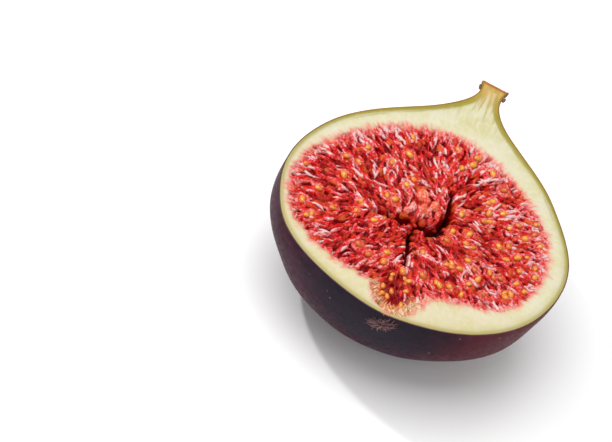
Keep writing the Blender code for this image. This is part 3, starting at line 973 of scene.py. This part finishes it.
def build_pulp_sheet(material):
    """The pulp's wet surface: the sheet's grid where it is inside the pulp's edge, closed below."""
    sheet = pulp_sheet()
    columns, rows = len(sheet["x"]), len(sheet["y"])
    faces = grid_faces(rows, columns)
    faces = faces[(sheet["pulp_mm"] * MM > -SHEET_OVERLAP)[faces].all(axis=1)]
    used, faces = np.unique(faces, return_inverse=True)
    faces = faces.reshape(-1, 4)
    points = np.column_stack((sheet["plan"], sheet["height"]))[used]
    names = ("tone", "warm", "deep_mm", "pulp_mm", "rim_mm", "share", "bracts")
    values = {name: sheet[name][used] for name in names} | {"spoke": spokes(points)}
    piece = make_piece("pulp_sheet", points, (faces,), (material,), values)
    closed_by(piece, float(PLACE[2]) + SHEET_LEDGE, float(PLACE[2]) + SHEET_BASE, SHEET_DRAWN_IN)
    return piece


def under_ceiling(height):
    """Heights above the cut plane, pressed under CEILING: c tanh(z / c) where z is above 0."""
    return np.where(height > 0.0, CEILING * np.tanh(height / CEILING), height)


def lay_threads(plan, heading, lengths, bend, lift, arch, rings, rng):
    """Lines through plan points: s runs along each, its heading turns by bend from end to end, and its
    height is the sheet's, averaged along it, plus lift, plus arch times (1 - (2t - 1) squared)."""
    t = np.linspace(0.0, 1.0, rings)
    turned = heading[:, None] + bend[:, None] * (t[None] - 0.5)
    steps = np.stack((np.cos(turned), np.sin(turned)), axis=-1) * (lengths / (rings - 1))[:, None, None]
    flat = np.cumsum(steps, axis=1)
    flat = plan[:, None] + flat - flat.mean(axis=1, keepdims=True)
    height = on_sheet(flat)
    height = 0.5 * height + 0.5 * height.mean(axis=1, keepdims=True)
    height = height + lift[:, None] + arch[:, None] * (1.0 - (2.0 * t[None] - 1.0) ** 2)
    height = height + (rng.uniform(-0.25, 0.25, len(plan)) * MM)[:, None] * (t[None] - 0.5)
    height = under_ceiling(height)
    return np.concatenate((flat, height[..., None]), axis=-1)


def swell(rings, start, end, power):
    """A thread's width along its length: sine of pi t to a power, never under start and end."""
    t = np.linspace(0.0, 1.0, rings)[1:-1]
    return np.maximum(np.sin(math.pi * t) ** power, start + (end - start) * t)


def per_thread(values, points, count):
    return np.repeat(values, len(points) // count)


def clear_of(plan, spots, gap):
    """Which plan points are at least gap away from every spot."""
    return np.linalg.norm(plan[:, None] - spots[None], axis=-1).min(axis=1) > gap


def pulp_piece(name, kind, material, seeds):
    """One kind of thread on the pulp: scattered clear of the seeds and the fissure, headed along the
    flow, each with its own tone."""
    rng = np.random.default_rng(kind["seed"])
    plan = scatter(kind["spacing"] * MM, kind["margin"] * MM, kind["seed"])
    if kind.get("rim_only"):
        plan = plan[pulp_depth(plan) < kind["rim_only"] * MM]
    plan = plan[clear_of(plan, seeds, kind["clear"] * MM)]
    plan = plan[(fissure_cut(plan)[0] < 0.25 * MM) & (plan[:, 1] > EYE_TOP * LENGTH)]
    count = len(plan)
    heading = flow_heading(plan) + rng.normal(0.0, kind["stray"], count)
    lengths = rng.uniform(*kind["length"], count) * MM
    bend = rng.normal(0.0, kind["bend"], count)
    lift = rng.uniform(*kind["lift"], count) * MM
    rings = kind["rings"]
    lines = lay_threads(plan, heading, lengths, bend, lift, np.full(count, kind["arch"] * MM), rings, rng)
    shape = swell(rings, *kind["swell"])
    widths = (rng.uniform(*kind["width"], count) * MM / 2.0)[:, None] * shape
    flatness = rng.uniform(*kind["flat"], count)
    points, faces, share = threads(lines, widths, widths * flatness[:, None], kind["sides"])
    tone = rng.uniform(*kind["tone"], count) + kind["patch"] * tone_patches(plan)
    tone = per_thread(tone, points, count) + kind["end_tone"] * (share - 0.5)
    return make_piece(name, points, faces, (material,), {"tone": tone})


PULP_THREADS = {
    # Pale petals and threads that lie free on the wet surface.
    "pulp_petals": dict(
        seed=104, spacing=6.0, margin=0.5, stray=0.30, length=(1.6, 3.4), width=(0.26, 0.52),
        flat=(0.35, 0.6), lift=(-0.14, -0.02), arch=0.10, bend=0.8, rings=9, sides=6, swell=(0.3, 0.2, 0.7),
        tone=(0.25, 0.65), end_tone=0.2, patch=0.22, clear=0.95,
    ),
    # Fine pale threads just inside the edge.
    "pulp_hairs": dict(
        seed=105, spacing=1.00, margin=0.25, rim_only=2.6, stray=0.25, length=(1.0, 2.4), width=(0.12, 0.24),
        flat=(0.4, 0.6), lift=(-0.06, 0.04), arch=0.04, bend=0.5, rings=7, sides=5, swell=(0.5, 0.3, 1.0),
        tone=(0.36, 0.74), end_tone=0.0, patch=0.12, clear=0.5,
    ),
}  # fmt: skip


def build_seeds(material, size):
    """Seeds: ovoids that stand half out of the wet surface, blunt at one end and pointed at the other:
    the half width is 0.36 of the length times sine of pi t times (1 - 0.16 cosine of pi t)."""
    rng = np.random.default_rng(SEED_DRAW + 1)
    plan, sizes = seed_plan()
    count = len(plan)
    scale = size * sizes
    height = np.minimum(on_sheet(plan) + rng.uniform(0.25, 0.50, count) * MM, 0.02 * MM)
    centres = np.column_stack((plan, height))
    heading = flow_heading(plan) + rng.normal(0.0, 0.7, count)
    way = unit(np.column_stack((np.cos(heading), np.sin(heading), rng.uniform(-0.9, 0.9, count))))
    t = np.linspace(0.0, 1.0, 10)
    along = -np.cos(math.pi * t)
    lines = centres[:, None] + way[:, None] * (along[None] * scale[:, None] * 0.5)[..., None]
    widths = scale[:, None] * 0.36 * np.sin(math.pi * t[1:-1])[None] * (1.0 - 0.16 * along[None, 1:-1])
    points, faces, _ = threads(lines, widths, widths * 0.95, 10)
    tone = per_thread(rng.uniform(0.0, 1.0, count) ** 2.2, points, count)
    sunk = (per_thread(centres[:, 2], points, count) - points[:, 2]) / (0.5 * size)
    make_piece("fig_seeds", points, faces, (material,), {"tone": tone, "sunk": sunk})


FISSURE_DRAW = 301


def build_fissure_flowers(material):
    """Glossy flower ends that hang into the fissure's arms: ovoids along their walls, red to orange,
    with painted shade on those that hang lower.
    """
    rng = np.random.default_rng(FISSURE_DRAW)
    spots, ways, sizes = [], [], []
    for points, half, deep in FISSURE_ARMS:
        path = np.array(points) * LENGTH
        steps = np.linspace(0.2, len(path) - 1.4, 4)
        index = steps.astype(int)
        spot = path[index] + (path[index + 1] - path[index]) * (steps - index)[:, None]
        way = unit(path[index + 1] - path[index])
        out = np.column_stack((-way[:, 1], way[:, 0]))
        for side in (-1.0, 1.0):
            gap = (half * rng.uniform(0.9, 1.3, len(spot)) * MM)[:, None]
            plan = spot + side * out * gap + way * rng.normal(0.0, 0.5 * MM, (len(spot), 1))
            height = -rng.uniform(0.25, 0.45, len(spot)) * deep * MM
            spots.append(np.column_stack((plan, height)))
            ways.append(-side * out)
            sizes.append(rng.uniform(1.0, 1.8, len(spot)) * MM)
    spots, ways, size = np.vstack(spots), np.vstack(ways), np.concatenate(sizes)
    count = len(spots)
    way = unit(np.column_stack((ways, rng.uniform(-0.9, -0.1, count))))
    t = np.linspace(0.0, 1.0, 11)
    longer = rng.uniform(0.50, 0.66, count)
    line = spots[:, None] + way[:, None] * (-np.cos(math.pi * t)[None] * (size * longer)[:, None])[..., None]
    widths = size[:, None] * 0.42 * (np.sin(math.pi * t[1:-1]) ** 0.8)[None]
    points, faces, _ = threads(line, widths, widths * 0.92, 12)
    tone = rng.uniform(0.05, 0.34, count)
    warm = rng.uniform(0.00, 0.22, count)
    # Painted shade: the lower a flower hangs, the darker.
    deep = np.maximum(-spots[:, 2] / MM - 1.2, 0.0) * 0.25
    values = {"tone": tone, "warm": warm, "deep_mm": deep}
    values = {key: per_thread(value, points, count) for key, value in values.items()}
    make_piece("fissure_flowers", points, faces, (material,), values)


EYE_DRAW = 401
BRACT_SPACING = 0.78 * MM
EYE_SCALES = 150
ROSETTE_CENTRE = np.array((1.1, -3.5)) * MM  # across and up, seen from the eye's side
ROSETTE_LONG_WAY = np.array((0.886, 0.463))
ROSETTE_HALF_AXES = (3.6, 2.3)  # in mm


def build_eye(colours):
    """Bracts inside the eye: thin curling blades that fill the funnel round its core and point into
    it; and the scales outside, blades on the skin that part from the eye's mouth in a long rosette."""
    rng = np.random.default_rng(EYE_DRAW)
    plan = scatter(BRACT_SPACING, -0.2 * MM, EYE_DRAW)
    plan = plan[rng.uniform(size=len(plan)) < bract_share(plan) * 1.1]
    count = len(plan)
    core = np.array(CORE) * LENGTH
    heading = np.arctan2(*(core - plan).T[::-1]) + rng.normal(0.0, 0.42, count)
    lengths = rng.uniform(1.0, 2.8, count) * MM
    lines = lay_threads(
        plan, heading, lengths, rng.normal(0.0, 0.8, count), rng.uniform(-0.08, 0.12, count) * MM,
        np.full(count, 0.12 * MM), 9, rng,
    )  # fmt: skip
    widths = (rng.uniform(0.07, 0.19, count) * MM)[:, None] * swell(9, 0.4, 0.1, 0.7)
    points, faces, along = threads(lines, widths, widths * 0.35, 6)
    tone = per_thread(rng.uniform(0.0, 1.0, count) ** 1.4, points, count) + 0.25 * (along - 0.5)
    inner = bract_material("eye_bract", colours.bract_pale, colours.bract_dark)
    make_piece("eye_bracts", points, faces, (inner,), {"tone": tone})
    count = EYE_SCALES
    # The rosette's long way runs down to one side over the skin below the cut.
    long_way, centre = ROSETTE_LONG_WAY, ROSETTE_CENTRE
    angle = rng.uniform(0.0, 2.0 * math.pi, count)
    long_half, short_half = ROSETTE_HALF_AXES
    reach = rng.uniform(0.35, 1.0, count) * MM
    reach = reach * np.hypot(long_half * np.cos(angle), short_half * np.sin(angle))
    t = np.linspace(0.0, 1.0, 9)
    away = (rng.uniform(0.0, 0.7, count) * MM)[:, None] + reach[:, None] * t[None]
    turned = angle[:, None] + rng.normal(0.0, 0.5, (count, 1)) * t[None]
    a, b = away * np.cos(turned) * 1.1, away * np.sin(turned)
    x = centre[0] + a * long_way[0] - b * long_way[1]
    z = np.minimum(centre[1] + a * long_way[1] + b * long_way[0], -0.15 * MM)
    radius = np.hypot(x - lean_at(0.0), z)
    skin_y = np.interp(radius, RADIUS[:70], ALONG[:70]) - swelling_at(radius, 0.0 * radius)
    lift = (rng.uniform(0.05, 0.45, count) * MM)[:, None] * np.sin(math.pi * t)[None] + 0.03 * MM
    lines = np.stack((x, skin_y - lift, z), axis=-1)
    widths = (rng.uniform(0.04, 0.10, count) * MM)[:, None] * swell(9, 0.5, 0.1, 0.7)
    points, faces, along = threads(lines, widths, widths * 0.5, 5, up=(0.0, -1.0, 0.0))
    points[:, 2] = np.minimum(points[:, 2], -0.02 * MM)
    tone = per_thread(rng.uniform(0.0, 1.0, count), points, count)
    outer = bract_material("eye_scale", colours.scale_pale, colours.scale_dark)
    make_piece("eye_scales", points, faces, (outer,), {"tone": tone})


# The broad chips, a lip and a brown chip on one side and two on the other: turn, start below the
# stem's end, rise, how far each stands out and its half width, in mm.
BROAD_CHIPS = (
    (0.03, 1.7, 2.1, 0.46, 0.30), (0.05, 3.0, 1.3, 0.42, 0.44),
    (3.11, 0.7, 1.3, 0.28, 0.30), (3.09, 2.7, 1.7, 0.34, 0.38),
)  # fmt: skip
FINE_CHIPS = 20
STEM_DRAW = 501


def build_stem_chips(colours):
    """Dry chips round the stem's cut end: short blades that curl outwards from its rim."""
    rng = np.random.default_rng(STEM_DRAW)
    named, few = np.array(BROAD_CHIPS), FINE_CHIPS
    turn = np.concatenate((named[:, 0], rng.uniform(0.25, 2.9, few)))
    count = len(turn)
    t = np.linspace(0.0, 1.0, 7)
    start = np.concatenate((named[:, 1], rng.uniform(0.4, 2.0, few))) * MM
    rise = np.concatenate((named[:, 2], rng.uniform(0.4, 1.3, few))) * MM
    out = np.concatenate((named[:, 3], rng.uniform(0.05, 0.40, few))) * MM
    wide = np.concatenate((named[:, 4], rng.uniform(0.22, 0.45, few))) * MM
    radius = RADIUS[-1] - 0.10 * MM + out[:, None] * t[None] ** 2
    y = LENGTH - start[:, None] + rise[:, None] * t[None]
    bent = turn[:, None] + rng.normal(0.0, 0.16, (count, 1)) * t[None]
    z = np.minimum(-radius * np.sin(bent), -0.05 * MM)
    lines = np.stack((radius * np.cos(bent) + lean_at(LENGTH), y, z), axis=-1)
    widths = wide[:, None] * swell(7, 0.8, 0.45, 0.6)
    ups = np.stack((np.cos(turn), 0.0 * turn, -np.sin(turn)), axis=-1)[:, None]
    thick = np.concatenate((np.full(len(named), 0.85), np.full(few, 0.28)))[:, None]
    points, faces, _ = threads(lines, widths, widths * thick, 6, up=ups)
    tone = np.concatenate((np.full(len(named), 0.85), rng.uniform(0.0, 1.0, few)))
    tone = per_thread(tone, points, count)
    chips = bract_material("stem_chip", colours.chip_pale, colours.chip_dark)
    make_piece("stem_chips", points, faces, (chips,), {"tone": tone})


def colour_prop(name, code, description):
    return bpy.props.FloatVectorProperty(
        name=name, description=description, default=linear(code), subtype="COLOR", size=4, min=0.0, max=1.0
    )


class FigColours(bpy.types.PropertyGroup):
    """The fruit's colours."""

    skin: colour_prop("Skin", "#3C1828", "Main colour of the ripe skin")
    skin_dark: colour_prop("Skin, dark streaks", "#1A0E17", "Darkest streaks of the skin")
    skin_red: colour_prop("Skin, red streaks", "#581E30", "Wine-red streaks of the skin")
    # Partly the skin's own wine-red, partly painted shade on the left flank.
    skin_wine_and_shade: colour_prop("Skin, wine-red cheek", "#32101C", "Wine-red cheek on the left")
    skin_ruddy: colour_prop("Skin, ruddy cheek", "#6A2828", "Red-brown cheek on the right")
    skin_eye: colour_prop("Skin at the eye", "#22212A", "Blue-black skin round the eye")
    bloom: colour_prop("Bloom", "#5C5468", "Wax bloom on the skin")
    lenticel: colour_prop("Lenticels", "#B58A5A", "Small tan specks in the skin")
    neck: colour_prop("Neck", "#86682C", "Skin where it dries towards the stem")
    cut_edge: colour_prop("Cut edge", "#4E2226", "The skin's own thickness at the cut")
    neck_edge: colour_prop("Cut edge, neck", "#86602A", "The same towards the neck, dried browner")
    under_skin: colour_prop("Under the skin", "#8E8214", "Green-yellow layer right under the skin")
    flesh: colour_prop("Flesh", "#C9C4A6", "Main colour of the cut flesh")
    flesh_pale: colour_prop("Flesh, pale", "#D2CDB9", "Palest flecks of the flesh")
    flesh_green: colour_prop("Flesh, green", "#C3BD8F", "Greener clouds in the flesh")
    stain: colour_prop("Stain", "#D66A60", "Pink stain where flesh meets pulp")
    pulp_deep: colour_prop("Pulp, deep", "#920406", "Deepest red of the pulp")
    pulp_red: colour_prop("Pulp, red", "#C40C0E", "Bright red of the pulp")
    pulp_pink: colour_prop("Pulp, pink", "#D03C40", "Pink of the petals")
    pulp_pale: colour_prop("Pulp, pale", "#D0888A", "Pale pink of the threads")
    pulp_white: colour_prop("Pulp, white", "#DABAB8", "Near-white threads")
    pulp_warm: colour_prop("Pulp, warm", "#DE7C2C", "Orange-red of ripe flower ends")
    # Painted shade: the colour of the gaps between drops, and of the floor under the pulp.
    pulp_gap_shade: colour_prop("Pulp, gaps", "#7C0308", "Crimson in the gaps between drops")
    # Painted shade deep inside the fissure.
    pulp_fissure_shade: colour_prop("Pulp, dark", "#300304", "Near-black red inside the fissure")
    seed: colour_prop("Seeds", "#E2942E", "Main colour of the seeds")
    seed_dark: colour_prop("Seeds, dark", "#C86A12", "Orange mottling of the seeds")
    # Partly seeds under red juice, partly painted shade on their undersides.
    seed_juice_and_shade: colour_prop("Seeds, under juice", "#B02E10", "Seeds seen through red juice")
    bract_pale: colour_prop("Bracts, pale", "#E0C2A0", "Pale bracts inside the eye")
    bract_dark: colour_prop("Bracts, dark", "#C87E48", "Brown bracts inside the eye")
    scale_pale: colour_prop("Scales, pale", "#8A5A5E", "Pale scales outside the eye")
    scale_dark: colour_prop("Scales, dark", "#160E12", "Dark scales outside the eye")
    stem_fibre: colour_prop("Stem fibre", "#C49E5A", "Fibre of the neck and the stem")
    stem_end: colour_prop("Stem end", "#BC6A36", "Dried face of the stem's end")
    chip_pale: colour_prop("Chips, pale", "#A07838", "Pale chips at the stem's end")
    chip_dark: colour_prop("Chips, dark", "#5C4422", "Dark chips at the stem's end")
    floor: colour_prop("Floor", "#FCFCFC", "The plain floor")


class FigSizes(bpy.types.PropertyGroup):
    """The sizes that a user would change."""

    seed_size: bpy.props.FloatProperty(
        name="Seed size",
        description="How long a seed is",
        default=1.85 * MM,
        min=1.0 * MM,
        max=2.4 * MM,
        unit="LENGTH",
    )
    light_power: bpy.props.FloatProperty(
        name="Light", description="Power of the large soft light", default=4.9, min=0.0, unit="POWER"
    )
    lens: bpy.props.FloatProperty(
        name="Lens", description="Focal length of the camera in mm", default=300.0, min=20.0
    )


class FIG_OT_body(bpy.types.Operator):
    """Builds the body: skin, cut flesh, the pulp's bed and the stem's end"""

    bl_idname = "fig.body"
    bl_label = "Body"

    def execute(self, context):
        build_body(context.scene.fig_colours)
        return {"FINISHED"}


class FIG_OT_pulp(bpy.types.Operator):
    """Builds the pulp's sheet of drops and petals, its free petals and its hairs"""

    bl_idname = "fig.pulp"
    bl_label = "Pulp"

    def execute(self, context):
        colours = context.scene.fig_colours
        build_pulp_sheet(pulp_material(colours, "wet_fig_pulp_sheet", sheet=True))
        material = pulp_material(colours)
        seeds = np.vstack((seed_plan()[0], CROWD_SPOTS))
        for name, kind in PULP_THREADS.items():
            pulp_piece(name, kind, material, seeds)
        return {"FINISHED"}


class FIG_OT_seeds(bpy.types.Operator):
    """Builds the seeds, and the flower ends in the fissure"""

    bl_idname = "fig.seeds"
    bl_label = "Seeds"

    def execute(self, context):
        pulp = bpy.data.materials.get("wet_fig_pulp")
        if pulp is None:
            raise RuntimeError("build the pulp before the seeds")
        seeds = seed_material(context.scene.fig_colours)
        build_seeds(seeds, context.scene.fig_sizes.seed_size)
        build_fissure_flowers(pulp)
        return {"FINISHED"}


class FIG_OT_eye(bpy.types.Operator):
    """Builds the bracts inside the eye and the scales outside it"""

    bl_idname = "fig.eye"
    bl_label = "Eye"

    def execute(self, context):
        build_eye(context.scene.fig_colours)
        return {"FINISHED"}


class FIG_OT_stem(bpy.types.Operator):
    """Builds the dry chips at the stem's end"""

    bl_idname = "fig.stem"
    bl_label = "Stem chips"

    def execute(self, context):
        build_stem_chips(context.scene.fig_colours)
        return {"FINISHED"}


FLOOR_REACH = 2.0  # half the floor's width in metres
CAMERA_ANGLES = (50.7, -2.0, -29.4)  # elevation, azimuth, and the roll that leans the stem to the right
SENSOR = 36.0  # the camera's sensor width in mm
VIEW_WIDTH = 120.1 * MM  # how wide the view is at the fruit
EYE_RIGHT, EYE_BELOW = 14.05 * MM, 17.2 * MM  # the eye's place in the view, from its middle
# Each light's way from the fruit, to the camera's right, up and back, its size and its share of power.
LIGHTS = (
    ("key_light", (0.10, 0.45, 0.65), 0.55, 1.0),
    ("fill_light", (-0.60, 0.15, 0.50), 0.55, 0.24),
    ("low_light", (0.65, -0.10, 0.45), 0.50, 0.12),
    ("sparkle_light", (-0.20, 0.45, 0.35), 0.03, 0.24),
)
ROOM_LIGHT = 0.42  # strength of the white world


def add_light(name, spot, aim, size, power):
    """A square area light at spot, turned towards aim."""
    data = bpy.data.lights.new(name, "AREA")
    data.size, data.energy = size, power
    light = bpy.data.objects.new(name, data)
    light.location = spot
    light.rotation_euler = (Vector(aim) - Vector(spot)).to_track_quat("-Z", "Y").to_euler()
    bpy.context.scene.collection.objects.link(light)


class FIG_OT_stage(bpy.types.Operator):
    """Builds the floor, the lights and the camera"""

    bl_idname = "fig.stage"
    bl_label = "Stage"

    def execute(self, context):
        scene, sizes = context.scene, context.scene.fig_sizes
        mesh = bpy.data.meshes.new("floor")
        signs = ((-1, -1), (1, -1), (1, 1), (-1, 1))
        mesh.from_pydata([(x * FLOOR_REACH, y * FLOOR_REACH, LOW.z) for x, y in signs], [], [(0, 1, 2, 3)])
        material, shader, _ = new_material("plain_floor")
        set_shader(shader, Base_Color=scene.fig_colours.floor, Roughness=0.6)
        mesh.materials.append(material)
        floor = bpy.data.objects.new("floor", mesh)
        scene.collection.objects.link(floor)
        centre = (LOW + HIGH) / 2.0
        # The camera's axes in the frame: right, up and back towards the camera.
        elevation, azimuth, roll = (math.radians(angle) for angle in CAMERA_ANGLES)
        flat = math.cos(elevation)
        back = Vector((math.sin(azimuth) * flat, -math.cos(azimuth) * flat, math.sin(elevation)))
        level = Vector((math.cos(azimuth), math.sin(azimuth), 0.0))
        steep = back.cross(level)
        right = math.cos(roll) * level - math.sin(roll) * steep
        up = back.cross(right)
        eye = Vector((float(lean_at(0.0)) + PLACE[0], PLACE[1], PLACE[2]))
        distance = sizes.lens / SENSOR * VIEW_WIDTH
        spot = eye - EYE_RIGHT * right + EYE_BELOW * up + distance * back
        camera_data = bpy.data.cameras.new("camera")
        camera_data.lens = sizes.lens
        camera_data.clip_start, camera_data.clip_end = 0.01, 20.0
        camera = bpy.data.objects.new("camera", camera_data)
        turned = Matrix((right, up, back)).transposed()
        camera.matrix_world = Matrix.Translation(spot) @ turned.to_4x4()
        scene.collection.objects.link(camera)
        scene.camera = camera
        for name, (a, b, c), size, share in LIGHTS:
            away = a * right + b * up + c * back
            add_light(name, centre + away, centre, size, share * sizes.light_power)
        world = bpy.data.worlds.new("white_room")
        world.use_nodes = True
        background = world.node_tree.nodes["Background"]
        background.inputs["Color"].default_value = (1.0, 1.0, 1.0, 1.0)
        background.inputs["Strength"].default_value = ROOM_LIGHT
        scene.world = world
        scene.view_settings.view_transform = "Standard"
        return {"FINISHED"}


OPERATORS = (FIG_OT_body, FIG_OT_pulp, FIG_OT_seeds, FIG_OT_eye, FIG_OT_stem, FIG_OT_stage)


class FIG_PT_panel(bpy.types.Panel):
    """Lists the fig's pieces, sizes and colours"""

    bl_label = "Fresh fig half"
    bl_idname = "FIG_PT_panel"
    bl_space_type = "VIEW_3D"
    bl_region_type = "UI"
    bl_category = "Fig"

    def draw(self, context):
        for operator in OPERATORS:
            self.layout.operator(operator.bl_idname)
        for group in (context.scene.fig_sizes, context.scene.fig_colours):
            for name in group.__annotations__:
                self.layout.prop(group, name)


CLASSES = (FigColours, FigSizes, *OPERATORS, FIG_PT_panel)


def register():
    for cls in CLASSES:
        bpy.utils.register_class(cls)
    bpy.types.Scene.fig_colours = bpy.props.PointerProperty(type=FigColours)
    bpy.types.Scene.fig_sizes = bpy.props.PointerProperty(type=FigSizes)


def unregister():
    del bpy.types.Scene.fig_sizes
    del bpy.types.Scene.fig_colours
    for cls in reversed(CLASSES):
        bpy.utils.unregister_class(cls)


def main():
    register()
    bpy.ops.fig.body()
    bpy.ops.fig.pulp()
    bpy.ops.fig.seeds()
    bpy.ops.fig.eye()
    bpy.ops.fig.stem()
    bpy.ops.fig.stage()


if __name__ == "__main__":
    main()
